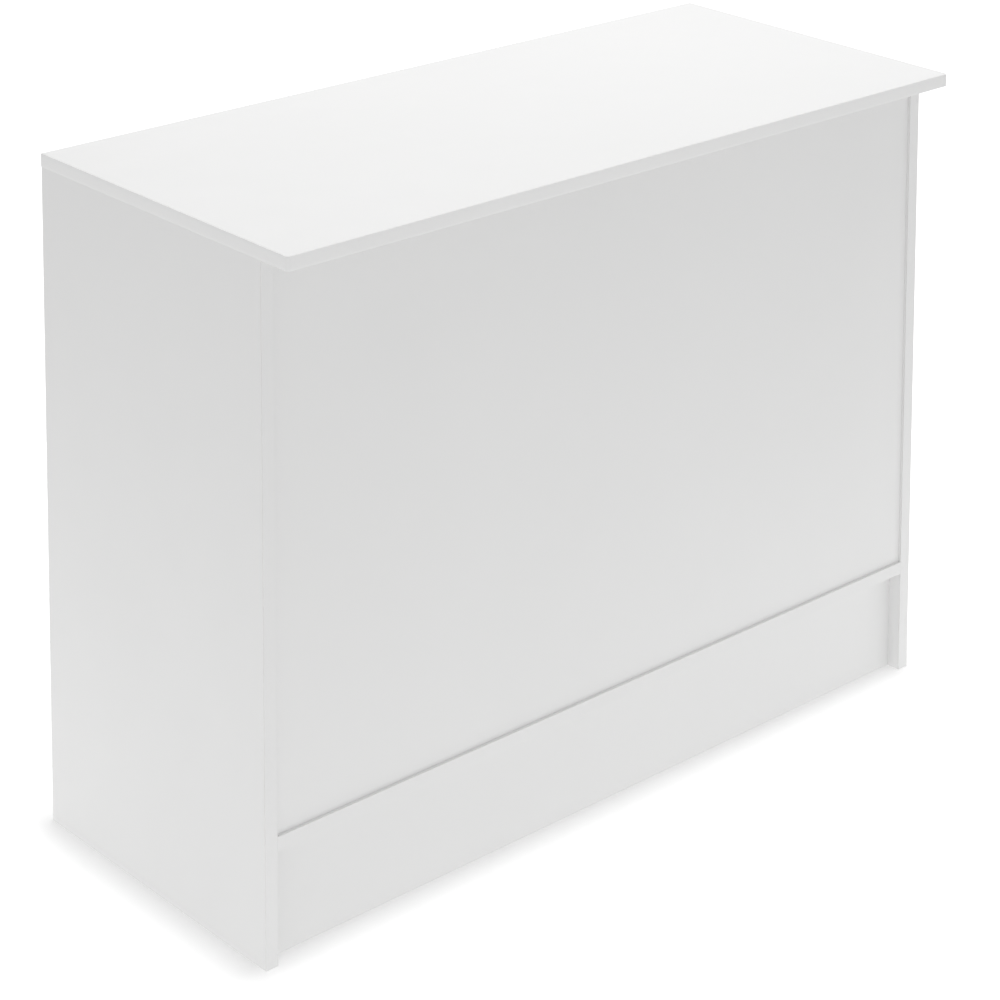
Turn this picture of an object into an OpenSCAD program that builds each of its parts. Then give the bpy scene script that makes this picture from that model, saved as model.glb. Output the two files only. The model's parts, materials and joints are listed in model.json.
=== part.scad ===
// Knock-down checkout counter with a locking cash drawer, adjustable shelves and levelers.
// +X runs along the counter, -Y is the customer's side, +Y the clerk's side and +Z is up.
// The origin is on the floor, under the middle of the counter top. Millimetres.

/* [Counter] */
// Length of the counter top
counter_w = 1219.2; // [1000:0.1:1800]
// Height of the counter top above the floor
counter_h = 965.2; // [860:0.1:1070]
// Depth of the cabinet, from the end panels' front edges to their back edges
cabinet_d = 508; // [500:0.1:610]
// How far the counter top stands out past the end panels on the customer's side
front_overhang = 57.15; // [30:0.05:80]
// How far the counter top stands out past each end panel
end_overhang = 1; // [0.5:0.1:5]
// Thickness of every board in the cabinet
board_t = 19.05; // [18:0.05:19.5]
// Radius of the counter top's two front corners
corner_r = 6.35; // [4:0.05:60]

/* [Base] */
// Height of the underside of the bottom deck
base_h = 157.6; // [120:0.1:180]
// Setback of the customer-side kick panel behind the end panels' front edges
kick_recess = 23; // [10:1:50]
// Setback of the clerk-side kick panel, which leaves room for toes
toe_recess = 50; // [20:1:80]
// Setback of the front panel behind the end panels' front edges
panel_recess = 4.6; // [2:0.1:10]

/* [Inside] */
// Centre of the divider, measured from the middle of the counter
divider_x = 100; // [80:1:120]
// Row of pin holes that the left shelf rests on
left_shelf_row = 8; // [2:1:9]
// Row of pin holes that the right shelf rests on
right_shelf_row = 6; // [2:1:9]
// Height of the drawer front
drawer_front_h = 120; // [115:1:150]
// Setback of the drawer front behind the cabinet's back edge
drawer_setback = 38; // [36:1:60]
// How far the drawer opens before its stop
drawer_travel = 300; // [200:10:320]

/* [Colours] */
// Melamine faces
white = "#f1f0ed";
// Edge bands and mouldings
edge_white = "#f7f6f3";
// Bright metal parts
metal = "#b9bcc0";
// Moulded plastic parts
plastic = "#e6e6e4";
// Solid wood parts
beech = "#d9b98a";

/* [Hidden] */
$fn = 48;

eps = 1;          // how far a cutting shape runs past the face it cuts
fit_gap = 0.05;   // radial clearance of a pin, dowel or stem in its bore
band_t = 1;       // thickness of a flat edge band
moulding_t = 2;   // thickness of the counter top's T-moulding
crown = 0.5;      // how far the moulding's face bulges
tongue_t = 2.4;   // thickness of the moulding's tongue
tongue_l = 8;     // how deep the tongue goes into the board's edge
slot_corner_r = 0.5;  // smallest corner radius of the tongue's slot
band_gap = 0.2;   // gap between two bands that meet end to end

top_x = counter_w / 2;
top_y = (cabinet_d + front_overhang) / 2;
back_y = top_y;
front_y = back_y - cabinet_d;
outer_x = top_x - end_overhang;
inner_x = outer_x - board_t;
under_top_z = counter_h - board_t;
deck_z = base_h + board_t;
rail_z = under_top_z - board_t;
rail_d = 80;
panel_y = front_y + panel_recess;
panel_back_y = panel_y + board_t;
kick_y = front_y + kick_recess;
rear_kick_y = back_y - toe_recess - board_t;
deck_mid_z = base_h + board_t / 2;
rail_mid_z = rail_z + board_t / 2;

// The two bays, between the divider and the end panels
left_bay = [-inner_x, divider_x - board_t / 2];
right_bay = [divider_x + board_t / 2, inner_x];
shelf_gap = 1.5;
shelf_front_y = panel_back_y + 2;
shelf_back_y = back_y - 28;

// Shelf pin holes, on a 32 mm pitch
pin_r = 2.5;
pin_hole_depth = 9;
pin_pitch = 32;
pin_columns = [shelf_front_y + 37, shelf_back_y - 37];
first_pin_up = 103.35;  // first row of holes above the deck
last_pin_down = 220;    // room above the last row, for the drawer
first_pin_z = deck_z + first_pin_up;
pin_rows = floor((rail_z - last_pin_down - first_pin_z) / pin_pitch);
pin_tongue_t = 2;
left_shelf_z = first_pin_z + left_shelf_row * pin_pitch + pin_tongue_t / 2;
right_shelf_z = first_pin_z + right_shelf_row * pin_pitch + pin_tongue_t / 2;

// Knock-down fittings
cam_r = 7.5;
cam_depth = 14.2;
cam_setback = 34;
bolt_r = 3.4;
bolt_thread_l = 11;
dowel_r = 4;
dowel_l = 30;
dowel_in_panel = 11;

// Levelers
pad_r = 18;
pad_h = 8;
stem_r = 4;
stem_l = 90;
stem_bottom_z = 3;
bracket_z = 56;
bracket_t = 3;
bracket_w = 44;
bracket_h = 46;
bracket_leg = 42;
gusset_l = 26;
leveler_inset = 23;
leveler_y = [kick_y + board_t + 32, rear_kick_y - 32];
access_r = 6.5;
leveler_xy = [for (x = [-1, 1], y = leveler_y) [x * (inner_x - leveler_inset), y]];

// Drawer
drawer_gap = 2;
drawer_top_z = rail_z - 3;
drawer_front_z = drawer_top_z - drawer_front_h;
drawer_face_y = back_y - drawer_setback;
drawer_in_y = drawer_face_y - board_t;
drawer_mid_x = (right_bay[0] + right_bay[1]) / 2;
drawer_x = [right_bay[0] + drawer_gap, right_bay[1] - drawer_gap];
drawer_side_t = 15;
drawer_side_h = 88;
drawer_side_l = min(400, drawer_in_y - panel_back_y - 15);
runner_space = 12.5;
box_x = [right_bay[0] + runner_space, right_bay[1] - runner_space];
box_back_y = drawer_in_y - drawer_side_l;
runner_z = drawer_front_z + 2;
runner_leg_w = 7.6;
runner_t = 1;
head_seat = 1.9;          // from a runner's back face to the face its screw heads sit on
cabinet_screw_up = 10;    // screws into the cabinet, above the bottom of the runner
drawer_screw_up = 13;     // screws into the drawer, above the bottom of the runner
drawer_screw_shift = 20;  // how much nearer the clerk the drawer's screws sit than the cabinet's
box_z = runner_z + runner_leg_w + runner_t;
bottom_t = 4;
groove_depth = 6;
groove_z = box_z + 10;

// Runner rollers
roller_r = 8;
roller_w = 6.4;
roller_pin_r = 2;
roller_u = 2.6;
roller_end = 14;
front_roller_y = drawer_in_y - roller_end;
rear_roller_y = box_back_y + roller_end;
front_roller_up = 9.45;  // the front roller's axis above the bottom of the runner
front_roller_z = runner_z + front_roller_up;
rear_roller_z = runner_z + runner_t + roller_r + fit_gap;
roller_contact = 6.4;  // how far ahead of its axis the rear roller meets the stop
runner_screw_ys = [box_back_y + 60, drawer_in_y - 120, drawer_in_y - 40];

// Pull
pull_pitch = 128;
pull_r = 5;
pull_reach = 28;
pull_z = drawer_front_z + drawer_front_h / 2;
pull_screw_r = 2;
pull_screw_depth = 10;

// Lock, above the middle of the pull
lock_x = drawer_mid_x;
lock_z = drawer_top_z - 30;
barrel_r = 9.5;
barrel_l = 26;
plug_r = 5.5;
lock_cam_t = 2;
lock_cam_l = 27;
keeper_y = drawer_in_y - 3;
keeper_d = 18;
keeper_t = 2;

// Joints between boards. Each is [point on the panel's face, direction into the board, side of the cam].
left_face = -inner_x;
right_face = inner_x;
panel_mid_y = panel_y + board_t / 2;
deck_joint_ys = [front_y + 130, back_y - 157];
deck_dowel_ys = [front_y + 165, back_y - 192];
front_joint_zs = [deck_z + 150, deck_z + 560];
rail_ys = [panel_back_y + 52, back_y - 30];
kick_joint_z = 100;
kick_dowel_z = 40;
rib_dowel_zs = [45, 120];
divider_joint_ys = [front_y + 105, back_y - 112];
divider_dowel_ys = [front_y + 185, back_y - 192];

function both_ends(y, z, face) = [
    [[left_face, y, z], [1, 0, 0], face],
    [[right_face, y, z], [-1, 0, 0], face]
];
function joined(lists) = [for (list = lists) each list];

deck_joints = joined([for (y = deck_joint_ys) both_ends(y, deck_mid_z, [0, 0, -1])]);
rail_joints = joined([for (y = rail_ys) both_ends(y, rail_mid_z, [0, 0, -1])]);
front_joints = joined([for (z = front_joint_zs) both_ends(panel_mid_y, z, [0, 1, 0])]);
kick_joints = joined([
    both_ends(kick_y + board_t / 2, kick_joint_z, [0, 1, 0]),
    both_ends(rear_kick_y + board_t / 2, kick_joint_z, [0, -1, 0])
]);
divider_joints = [for (y = divider_joint_ys) [[divider_x, y, deck_z], [0, 0, 1], [1, 0, 0]]];
cam_joints = joined([deck_joints, rail_joints, front_joints, kick_joints, divider_joints]);
capped_joints = joined([rail_joints, front_joints, divider_joints]);

// Dowels. Each is [point on the panel's face, direction into the board].
dowel_joints = joined([
    [for (y = deck_dowel_ys, j = both_ends(y, deck_mid_z, [0, 0, 1])) j],
    [for (y = [panel_back_y + 20, back_y - 62], j = both_ends(y, rail_mid_z, [0, 0, 1])) j],
    [for (z = [deck_z + 60, rail_z - 60], j = both_ends(panel_mid_y, z, [0, 0, 1])) j],
    [for (j = both_ends(kick_y + board_t / 2, kick_dowel_z, [0, 0, 1])) j],
    [for (j = both_ends(rear_kick_y + board_t / 2, kick_dowel_z, [0, 0, 1])) j],
    [for (y = divider_dowel_ys) [[divider_x, y, deck_z], [0, 0, 1]]],
    [for (z = rib_dowel_zs) [[divider_x, kick_y + board_t, z], [0, 1, 0]]],
    [for (z = rib_dowel_zs) [[divider_x, rear_kick_y, z], [0, -1, 0]]]
]);
drawer_dowel_joints = [
    for (x = [box_x[0] + drawer_side_t / 2, box_x[1] - drawer_side_t / 2], z = [box_z + 26, box_z + 68])
        [[x, drawer_in_y, z], [0, -1, 0]]
];

// Screws: each is [length, shank radius, head radius]
hardware_screw_size = [13, 1.75, 3.5];
top_screw_size = [30, 2, 4];
divider_screw_size = [50, 2.5, 4.8];
drawer_screw_size = [40, 2, 4];
top_screw_xs = [90 - inner_x, (divider_x - inner_x) / 2, divider_x - 60, drawer_mid_x - 50, inner_x - 70];
top_screw_ys = [panel_back_y + 36, back_y - 46];
divider_screw_ys = [panel_back_y + 30, back_y - 30];

// ---------- Shared shapes ----------

module block(low, high) {
    translate(low) cube(high - low);
}

// A cylinder from a point, along an axis direction
module rod(at, along, length, r) {
    translate(at) point_z_along(along) cylinder(r = r, h = length);
}

// Turns +Z to one of the six axis directions
module point_z_along(along) {
    rotate(along.z > 0 ? [0, 0, 0] : along.z < 0 ? [180, 0, 0] : along.x != 0 ? [0, 90 * along.x, 0]
        : [-90 * along.y, 0, 0]) children();
}

// Places a joint: local +X runs into the board and local +Z leaves the board's cam face
module at_joint(joint) {
    along = joint[1];
    face = joint[2];
    side = cross(face, along);
    multmatrix([
        [along.x, side.x, face.x, joint[0].x],
        [along.y, side.y, face.y, joint[0].y],
        [along.z, side.z, face.z, joint[0].z]
    ]) children();
}

// Bores for every cam, bolt and dowel: a board is cut by those that reach it
module joint_bores() {
    for (joint = cam_joints) at_joint(joint) {
        translate([-bolt_thread_l - 1, 0, 0]) rotate([0, 90, 0]) cylinder(r = 3, h = bolt_thread_l + 1.5);
        rotate([0, 90, 0]) cylinder(r = bolt_r + 0.4, h = cam_setback);
        translate([cam_setback, 0, board_t / 2 - cam_depth]) cylinder(r = cam_r, h = cam_depth + eps);
    }
    for (joint = dowel_joints)
        rod(joint[0] - joint[1] * (dowel_in_panel + 0.5), joint[1], dowel_l + 1, dowel_r + fit_gap);
}

// Rows of blind holes in a board face at x, running towards the direction side
module pin_holes(x, side) {
    for (y = pin_columns, row = [0:pin_rows])
        rod([x - side * eps, y, first_pin_z + row * pin_pitch], [side, 0, 0], pin_hole_depth + eps, pin_r);
}

// A wood screw along +Z, with its countersunk head's face at z = 0
module wood_screw(size) {
    length = size[0];
    r = size[1];
    head_r = size[2];
    difference() {
        union() {
            cylinder(r1 = head_r, r2 = r, h = head_r - r);
            cylinder(r = r, h = length - 2 * r);
            translate([0, 0, length - 2 * r]) cylinder(r1 = r, r2 = 0.3, h = 2 * r);
        }
        cross_recess(head_r * 0.55, head_r * 0.5);
    }
}

// The hole that a wood screw fills
module wood_screw_bore(size) {
    clearance = 0.1;
    r = size[1] + clearance;
    head_r = size[2] + clearance;
    translate([0, 0, -eps]) cylinder(r = head_r, h = eps);
    cylinder(r1 = head_r, r2 = r, h = head_r - r);
    cylinder(r = r, h = size[0] + 1);
}

// The short screw that fixes the brackets, the runners and the lock's keeper
module hardware_screw() {
    wood_screw(hardware_screw_size);
}

module hardware_screw_bore() {
    wood_screw_bore(hardware_screw_size);
}

// A cross-shaped driver recess, cut upwards from z = 0
module cross_recess(reach, depth) {
    for (turn = [0, 90])
        rotate(turn) translate([-reach, -reach / 5, -eps]) cube([2 * reach, reach * 2 / 5, depth + eps]);
}

// ---------- Counter top ----------

// The counter top's outline with round front corners, shrunk by inset on the moulded sides
module top_outline(inset, back_inset) {
    r = max(corner_r - inset, slot_corner_r);
    x = top_x - inset;
    front = -top_y + inset;
    back = top_y - back_inset;
    union() {
        translate([-x, front + r]) square([2 * x, back - front - r]);
        translate([-x + r, front]) square([2 * (x - r), r]);
        for (side = [-1, 1]) translate([side * (x - r), front + r]) circle(r = r, $fn = 96);
    }
}

module countertop_board() {
    color(white) difference() {
        translate([0, 0, under_top_z]) linear_extrude(board_t) top_outline(moulding_t, band_t);
        translate([0, 0, counter_h - board_t / 2 - tongue_t / 2 - fit_gap])
            linear_extrude(tongue_t + 2 * fit_gap) difference() {
                top_outline(0, -eps);
                top_outline(moulding_t + tongue_l + 0.5, -2 * eps);
            }
        top_screw_places() wood_screw_bore(top_screw_size);
    }
}

// The section of the moulding's face, with x running outwards from the board's edge and y up
module moulding_face_section() {
    straight = moulding_t - crown;
    half_h = board_t / 2;
    square([straight, board_t]);
    polygon([for (angle = [-90:15:90]) [straight + crown * cos(angle), half_h + half_h * sin(angle)]]);
}

// A straight run of moulding along +Y with its face towards +X: the tongue is notched at both ends
module moulding_run(length, tongue_from, tongue_to) {
    rotate([90, 0, 180]) linear_extrude(length) mirror([1, 0]) moulding_face_section();
    translate([-tongue_l, tongue_from, (board_t - tongue_t) / 2])
        cube([tongue_l + (moulding_t - crown) / 2, tongue_to - tongue_from, tongue_t]);
}

module countertop_t_moulding() {
    edge_x = top_x - moulding_t;
    edge_y = top_y - moulding_t;
    side_l = 2 * top_y - corner_r;
    front_l = 2 * (top_x - corner_r);
    notch = max(0, tongue_l + moulding_t - corner_r) + 1;
    color(edge_white) translate([0, 0, under_top_z]) {
        for (side = [0, 1]) mirror([side, 0, 0]) {
            translate([edge_x, -top_y + corner_r, 0]) moulding_run(side_l, notch, side_l - band_t);
            translate([top_x - corner_r, -top_y + corner_r, 0]) rotate(-90)
                rotate_extrude(angle = 90, $fn = 96)
                    translate([corner_r - moulding_t, 0]) moulding_face_section();
        }
        translate([front_l / 2, -edge_y, 0]) rotate(90) mirror([1, 0, 0])
            moulding_run(front_l, notch, front_l - notch);
    }
}

module countertop_rear_band() {
    x = top_x - moulding_t;
    color(edge_white) block([-x, top_y - band_t, under_top_z], [x, top_y, counter_h]);
}

module top_screw_places() {
    for (x = top_screw_xs, y = top_screw_ys) translate([x, y, rail_z]) children();
}

module hardware_screws() {
    color(metal) {
        bracket_screw_places() hardware_screw();
        keeper_screw_places() hardware_screw();
        for (side = [-1, 1]) runner_cabinet_screw_places(side) hardware_screw();
    }
}

module top_screws() {
    color(metal) top_screw_places() wood_screw(top_screw_size);
}

// ---------- Cabinet boards ----------

// One end panel, on the side that sign says, without its edge bands
module end_panel(side) {
    color(white) difference() {
        block([min(side * outer_x, side * inner_x), front_y + band_t, 0],
            [max(side * outer_x, side * inner_x), back_y - band_t, under_top_z]);
        joint_bores();
        pin_holes(side * inner_x, side);
        bracket_screw_places() hardware_screw_bore();
        if (side > 0) runner_cabinet_screw_places(1) hardware_screw_bore();
    }
}

module left_end_panel() {
    end_panel(-1);
}

module right_end_panel() {
    end_panel(1);
}

module end_panel_bands() {
    color(edge_white) for (x = [-outer_x, inner_x], y = [front_y, back_y - band_t])
        block([x, y, 0], [x + board_t, y + band_t, under_top_z]);
}

module front_panel() {
    color(white) difference() {
        block([-inner_x, panel_y, deck_z], [inner_x, panel_back_y, under_top_z]);
        joint_bores();
    }
}

module bottom_deck() {
    color(white) difference() {
        block([-inner_x, front_y + band_t, base_h], [inner_x, back_y - band_t, deck_z]);
        joint_bores();
        for (place = leveler_xy)
            translate([place.x, place.y, base_h - eps]) cylinder(r = access_r, h = board_t + 2 * eps);
    }
}

module bottom_deck_bands() {
    color(edge_white) for (y = [front_y, back_y - band_t])
        block([-inner_x, y, base_h], [inner_x, y + band_t, deck_z]);
}

module front_kick_panel() {
    color(white) difference() {
        block([-inner_x, kick_y, 0], [inner_x, kick_y + board_t, base_h]);
        joint_bores();
    }
}

module rear_kick_panel() {
    color(white) difference() {
        block([-inner_x, rear_kick_y, 0], [inner_x, rear_kick_y + board_t, base_h]);
        joint_bores();
    }
}

module base_rib() {
    color(white) difference() {
        block([divider_x - board_t / 2, kick_y + board_t, 0],
            [divider_x + board_t / 2, rear_kick_y, base_h]);
        joint_bores();
    }
}

module center_divider() {
    color(white) difference() {
        block([divider_x - board_t / 2, panel_back_y, deck_z],
            [divider_x + board_t / 2, back_y - band_t, rail_z]);
        joint_bores();
        pin_holes(left_bay[1], 1);
        pin_holes(right_bay[0], -1);
        divider_screw_places() wood_screw_bore(divider_screw_size);
        runner_cabinet_screw_places(-1) hardware_screw_bore();
    }
}

// Bands on the clerk-side edges of the divider and of the rear top rail
module inner_bands() {
    color(edge_white) {
        block([divider_x - board_t / 2, back_y - band_t, deck_z],
            [divider_x + board_t / 2, back_y, rail_z - band_gap]);
        block([-inner_x, back_y - band_t, rail_z], [inner_x, back_y, under_top_z]);
    }
}

// A flat rail under the counter top, between two depths
module top_rail(low_y, high_y) {
    color(white) difference() {
        block([-inner_x, low_y, rail_z], [inner_x, high_y, under_top_z]);
        joint_bores();
        top_screw_places() wood_screw_bore(top_screw_size);
        divider_screw_places() wood_screw_bore(divider_screw_size);
        keeper_screw_places() hardware_screw_bore();
    }
}

module front_top_rail() {
    top_rail(panel_back_y, panel_back_y + rail_d);
}

module rear_top_rail() {
    top_rail(back_y - rail_d, back_y - band_t);
}

module divider_screw_places() {
    for (y = divider_screw_ys) translate([divider_x, y, under_top_z]) rotate([180, 0, 0]) children();
}

module divider_screws() {
    color(metal) divider_screw_places() wood_screw(divider_screw_size);
}

// ---------- Shelves ----------

module shelf(bay, z) {
    color(white) block([bay[0] + shelf_gap, shelf_front_y + band_t, z],
        [bay[1] - shelf_gap, shelf_back_y - band_t, z + board_t]);
}

module shelf_bands(bay, z) {
    color(edge_white) for (y = [shelf_front_y, shelf_back_y - band_t])
        block([bay[0] + shelf_gap, y, z], [bay[1] - shelf_gap, y + band_t, z + board_t]);
}

module left_shelf() {
    shelf(left_bay, left_shelf_z);
}

module left_shelf_bands() {
    shelf_bands(left_bay, left_shelf_z);
}

module right_shelf() {
    shelf(right_bay, right_shelf_z);
}

module right_shelf_bands() {
    shelf_bands(right_bay, right_shelf_z);
}

// Spoon-shaped pin along +X: a peg in the board, a collar on its face and a flat tongue under the shelf
module shelf_pin() {
    translate([-pin_hole_depth + 0.5, 0, 0]) rotate([0, 90, 0])
        cylinder(r = pin_r - fit_gap, h = pin_hole_depth - 0.5);
    rotate([0, 90, 0]) cylinder(r = 4, h = 1);
    difference() {
        union() {
            translate([1, -6, -pin_tongue_t / 2]) cube([9, 12, pin_tongue_t]);
            translate([10, 0, -pin_tongue_t / 2]) cylinder(r = 6, h = pin_tongue_t);
            translate([1, -1, -6]) cube([2.2, 2, 5.5]);
        }
        translate([10, 0, -pin_tongue_t / 2 - eps]) cylinder(r = 2, h = pin_tongue_t + 2 * eps);
    }
}

module shelf_pins() {
    for (shelf_at = [[left_bay, left_shelf_z], [right_bay, right_shelf_z]], y = pin_columns) {
        z = shelf_at[1] - pin_tongue_t / 2;
        color(metal) translate([shelf_at[0][0], y, z]) shelf_pin();
        color(metal) translate([shelf_at[0][1], y, z]) rotate(180) shelf_pin();
    }
}

// ---------- Knock-down fittings ----------

// Cam lock with a cross recess, a channel for the bolt's neck and a hollow for its head
module cam_lock() {
    sink = 0.3;
    height = cam_depth - sink - 0.2;
    hollow_r = 4.4;
    translate([cam_setback, 0, board_t / 2 - sink - height]) difference() {
        cylinder(r = cam_r - fit_gap, h = height);
        translate([0, 0, -eps]) cylinder(r = hollow_r, h = eps + height - 5);
        translate([-cam_r - eps, -2.6, -eps]) cube([cam_r + eps, 5.2, eps + height - 5]);
        translate([0, 0, height]) rotate([180, 0, 0]) cross_recess(4.2, 2.6);
    }
}

module cam_locks() {
    color(metal) for (joint = cam_joints) at_joint(joint) cam_lock();
}

// Cam bolt: thread in the panel, collar, shaft, neck and round head
module cam_bolt() {
    shaft_l = cam_setback - cam_r - 1;
    rotate([0, 90, 0]) union() {
        translate([0, 0, -bolt_thread_l]) cylinder(r = 3 - fit_gap, h = bolt_thread_l);
        cylinder(r = bolt_r, h = shaft_l);
        translate([0, 0, shaft_l]) cylinder(r = 2, h = cam_setback - shaft_l - 2);
        translate([0, 0, cam_setback - 2.5]) cylinder(r1 = 2.2, r2 = bolt_r, h = 1.5);
        translate([0, 0, cam_setback - 1]) cylinder(r = bolt_r, h = 2.2);
    }
}

module cam_bolts() {
    color(metal) for (joint = cam_joints) at_joint(joint) cam_bolt();
}

module cam_cover_caps() {
    cap_r = 8.5;
    color(plastic) for (joint = capped_joints) at_joint(joint)
        translate([cam_setback, 0, board_t / 2]) {
            cylinder(r = cap_r, h = 0.8);
            translate([0, 0, 0.8]) cylinder(r1 = cap_r, r2 = cap_r - 0.8, h = 0.4);
            translate([0, 0, -2]) cylinder(r = 0.7, h = 2.5);
        }
}

// Dowel along +Z with a small chamfer on each end
module dowel(length) {
    chamfer = 1;
    cylinder(r1 = dowel_r - chamfer, r2 = dowel_r, h = chamfer);
    translate([0, 0, chamfer]) cylinder(r = dowel_r, h = length - 2 * chamfer);
    translate([0, 0, length - chamfer]) cylinder(r1 = dowel_r, r2 = dowel_r - chamfer, h = chamfer);
}

module wood_dowels() {
    color(beech) for (joint = dowel_joints)
        translate(joint[0] - joint[1] * dowel_in_panel) point_z_along(joint[1]) dowel(dowel_l);
}

// ---------- Levelers ----------

module leveler_access_caps() {
    color(plastic) for (place = leveler_xy) translate([place.x, place.y, deck_z]) {
        cylinder(r = 9, h = 0.8);
        translate([0, 0, 0.8]) cylinder(r1 = 9, r2 = 8.2, h = 0.5);
        translate([0, 0, -9]) difference() {
            cylinder(r = access_r - fit_gap, h = 9.2);
            translate([0, 0, -eps]) cylinder(r = access_r - 1.5, h = 9 + eps);
        }
    }
}

// Puts children on the leveler centres, with local +X towards the end panel
module leveler_places() {
    for (place = leveler_xy) translate([place.x, place.y, 0]) rotate(place.x > 0 ? 0 : 180) children();
}

module bracket_screw_places() {
    leveler_places() for (y = [-13, 13], z = [bracket_z + 12, bracket_z + 34])
        translate([leveler_inset - bracket_t + 0.2, y, z]) rotate([0, 90, 0]) children();
}

module leveler_brackets() {
    color(metal) difference() {
        leveler_places() union() {
            translate([leveler_inset - bracket_t, -bracket_w / 2, bracket_z])
                cube([bracket_t, bracket_w, bracket_h]);
            translate([leveler_inset - bracket_leg, -bracket_w / 2, bracket_z])
                cube([bracket_leg - bracket_t / 2, bracket_w, bracket_t]);
            translate([0, 0, bracket_z - 9]) cylinder(r = 8, h = 10);
            for (side = [-1, 1])
                translate([leveler_inset, side * (bracket_w - bracket_t) / 2, bracket_z])
                    translate([-bracket_t / 2, 0, bracket_t / 2]) rotate([90, 0, 180])
                        linear_extrude(bracket_t, center = true)
                            polygon([[0, 0], [gusset_l, 0], [0, gusset_l]]);
        }
        leveler_places() translate([0, 0, bracket_z - 9 - eps]) cylinder(r = stem_r + fit_gap, h = 30);
        bracket_screw_places() hardware_screw_bore();
    }
}

// Threaded stem with a hexagonal collar above the pad and a hexagonal socket in its top
module leveler_stem(index) {
    place = leveler_xy[index];
    color(metal) translate([place.x, place.y, stem_bottom_z]) difference() {
        union() {
            cylinder(r = 3.4, h = 6);
            translate([0, 0, 5.5]) cylinder(r = 7.5, h = 5, $fn = 6);
            translate([0, 0, 10]) cylinder(r = stem_r, h = stem_l - 10.6);
            translate([0, 0, stem_l - 0.6]) cylinder(r1 = stem_r, r2 = stem_r - 0.6, h = 0.6);
        }
        translate([0, 0, stem_l - 5]) cylinder(r = 2.3, h = 5 + eps, $fn = 6);
    }
}

// Round foot with a domed shoulder and a socket for the stem's end
module leveler_pad(index) {
    place = leveler_xy[index];
    shoulder = 2;
    color("#3a3a3c") translate([place.x, place.y, 0]) difference() {
        union() {
            cylinder(r1 = pad_r - 1, r2 = pad_r, h = 1);
            translate([0, 0, 1]) cylinder(r = pad_r, h = 3);
            translate([0, 0, 4]) cylinder(r1 = pad_r, r2 = pad_r - 6, h = shoulder);
            translate([0, 0, 4 + shoulder]) cylinder(r = pad_r - 6, h = pad_h - 4 - shoulder);
        }
        translate([0, 0, stem_bottom_z - 0.05]) cylinder(r = 3.4 + fit_gap, h = pad_h);
    }
}

module leveler_stem_1() leveler_stem(0);
module leveler_stem_2() leveler_stem(1);
module leveler_stem_3() leveler_stem(2);
module leveler_stem_4() leveler_stem(3);
module leveler_pad_1() leveler_pad(0);
module leveler_pad_2() leveler_pad(1);
module leveler_pad_3() leveler_pad(2);
module leveler_pad_4() leveler_pad(3);

// ---------- Drawer ----------

module drawer_front() {
    color(white) difference() {
        block([drawer_x[0] + band_t, drawer_in_y, drawer_front_z + band_t],
            [drawer_x[1] - band_t, drawer_face_y, drawer_top_z - band_t]);
        drawer_groove();
        drawer_dowel_bores();
        for (side = [-1, 1])
            rod([drawer_mid_x + side * pull_pitch / 2, drawer_in_y - eps, pull_z], [0, 1, 0],
                board_t + 2 * eps, pull_screw_r + 0.25);
        rod([lock_x, drawer_in_y - eps, lock_z], [0, 1, 0], board_t + 2 * eps, barrel_r + fit_gap);
    }
}

module drawer_front_bands() {
    color(edge_white) difference() {
        block([drawer_x[0], drawer_in_y, drawer_front_z], [drawer_x[1], drawer_face_y, drawer_top_z]);
        block([drawer_x[0] + band_t, drawer_in_y - eps, drawer_front_z + band_t],
            [drawer_x[1] - band_t, drawer_face_y + eps, drawer_top_z - band_t]);
    }
}

module drawer_groove() {
    block([box_x[0] + drawer_side_t - groove_depth, box_back_y - eps, groove_z],
        [box_x[1] - drawer_side_t + groove_depth, drawer_in_y + groove_depth, groove_z + bottom_t]);
}

module drawer_dowel_bores() {
    for (joint = drawer_dowel_joints)
        rod(joint[0] - joint[1] * (dowel_in_panel + 0.5), joint[1], dowel_l + 1, dowel_r + fit_gap);
}

// One side of the drawer box, with its low x given
module drawer_side(x) {
    color(white) difference() {
        block([x, box_back_y, box_z], [x + drawer_side_t, drawer_in_y, box_z + drawer_side_h]);
        drawer_groove();
        drawer_dowel_bores();
        drawer_screw_places() wood_screw_bore(drawer_screw_size);
        for (side = [-1, 1]) runner_drawer_screw_places(side) hardware_screw_bore();
    }
}

module drawer_left_side() {
    drawer_side(box_x[0]);
}

module drawer_right_side() {
    drawer_side(box_x[1] - drawer_side_t);
}

module drawer_back() {
    color(white) difference() {
        block([box_x[0] + drawer_side_t, box_back_y, groove_z + bottom_t],
            [box_x[1] - drawer_side_t, box_back_y + drawer_side_t, box_z + drawer_side_h]);
        drawer_screw_places() wood_screw_bore(drawer_screw_size);
    }
}

module drawer_bottom() {
    slack = 0.5;
    inset = drawer_side_t - groove_depth + slack;
    color(white) block([box_x[0] + inset, box_back_y, groove_z + 0.1],
        [box_x[1] - inset, drawer_in_y + groove_depth - slack, groove_z + bottom_t]);
}

module drawer_dowels() {
    color(beech) for (joint = drawer_dowel_joints)
        translate(joint[0] - joint[1] * dowel_in_panel) point_z_along(joint[1]) dowel(dowel_l);
}

module drawer_screw_places() {
    for (z = [box_z + 34, box_z + 70]) {
        translate([box_x[0], box_back_y + drawer_side_t / 2, z]) rotate([0, 90, 0]) children();
        translate([box_x[1], box_back_y + drawer_side_t / 2, z]) rotate([0, -90, 0]) children();
    }
}

module drawer_screws() {
    color(metal) drawer_screw_places() wood_screw(drawer_screw_size);
}

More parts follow.
